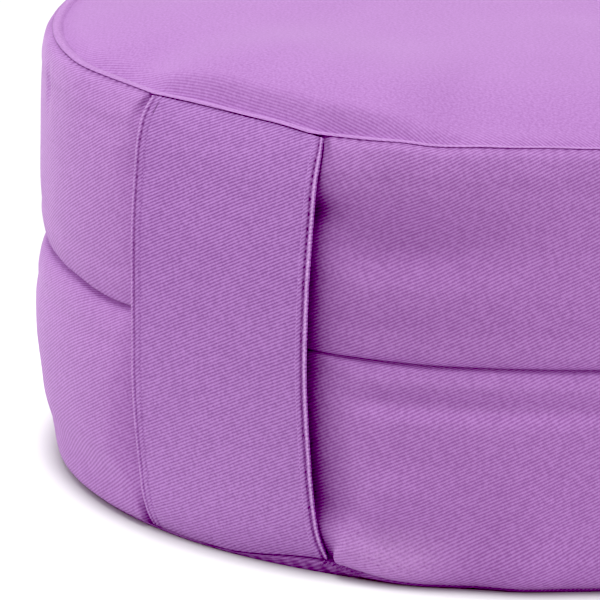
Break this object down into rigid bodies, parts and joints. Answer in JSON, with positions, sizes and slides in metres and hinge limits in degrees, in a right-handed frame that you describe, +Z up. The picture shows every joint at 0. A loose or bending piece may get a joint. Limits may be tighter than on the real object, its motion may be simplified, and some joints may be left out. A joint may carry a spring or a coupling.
{
  "type": "meditation cushion",
  "caption": "Round zafu floor cushion with a crowned top, two bulged side bands drawn in at a middle seam, and a wide flat carry strap sewn down the side.",
  "frame": {"origin": "middle of the flat underside, on the floor", "axes": "+Z up, the short way through the cushion; -Y towards the carry strap, which is centred on the side; +X to the right when looking at the strap"},
  "size_m": [0.3302, 0.3296, 0.1581],
  "materials": {
    "cover_twill": "matt cotton twill, plum",
    "handle_twill": "matt cotton twill, plum, hemmed"
  },
  "bodies": {
    "root": {"cushion_body": "cover_twill", "carry_handle": "handle_twill"}
  },
  "joints": []
}
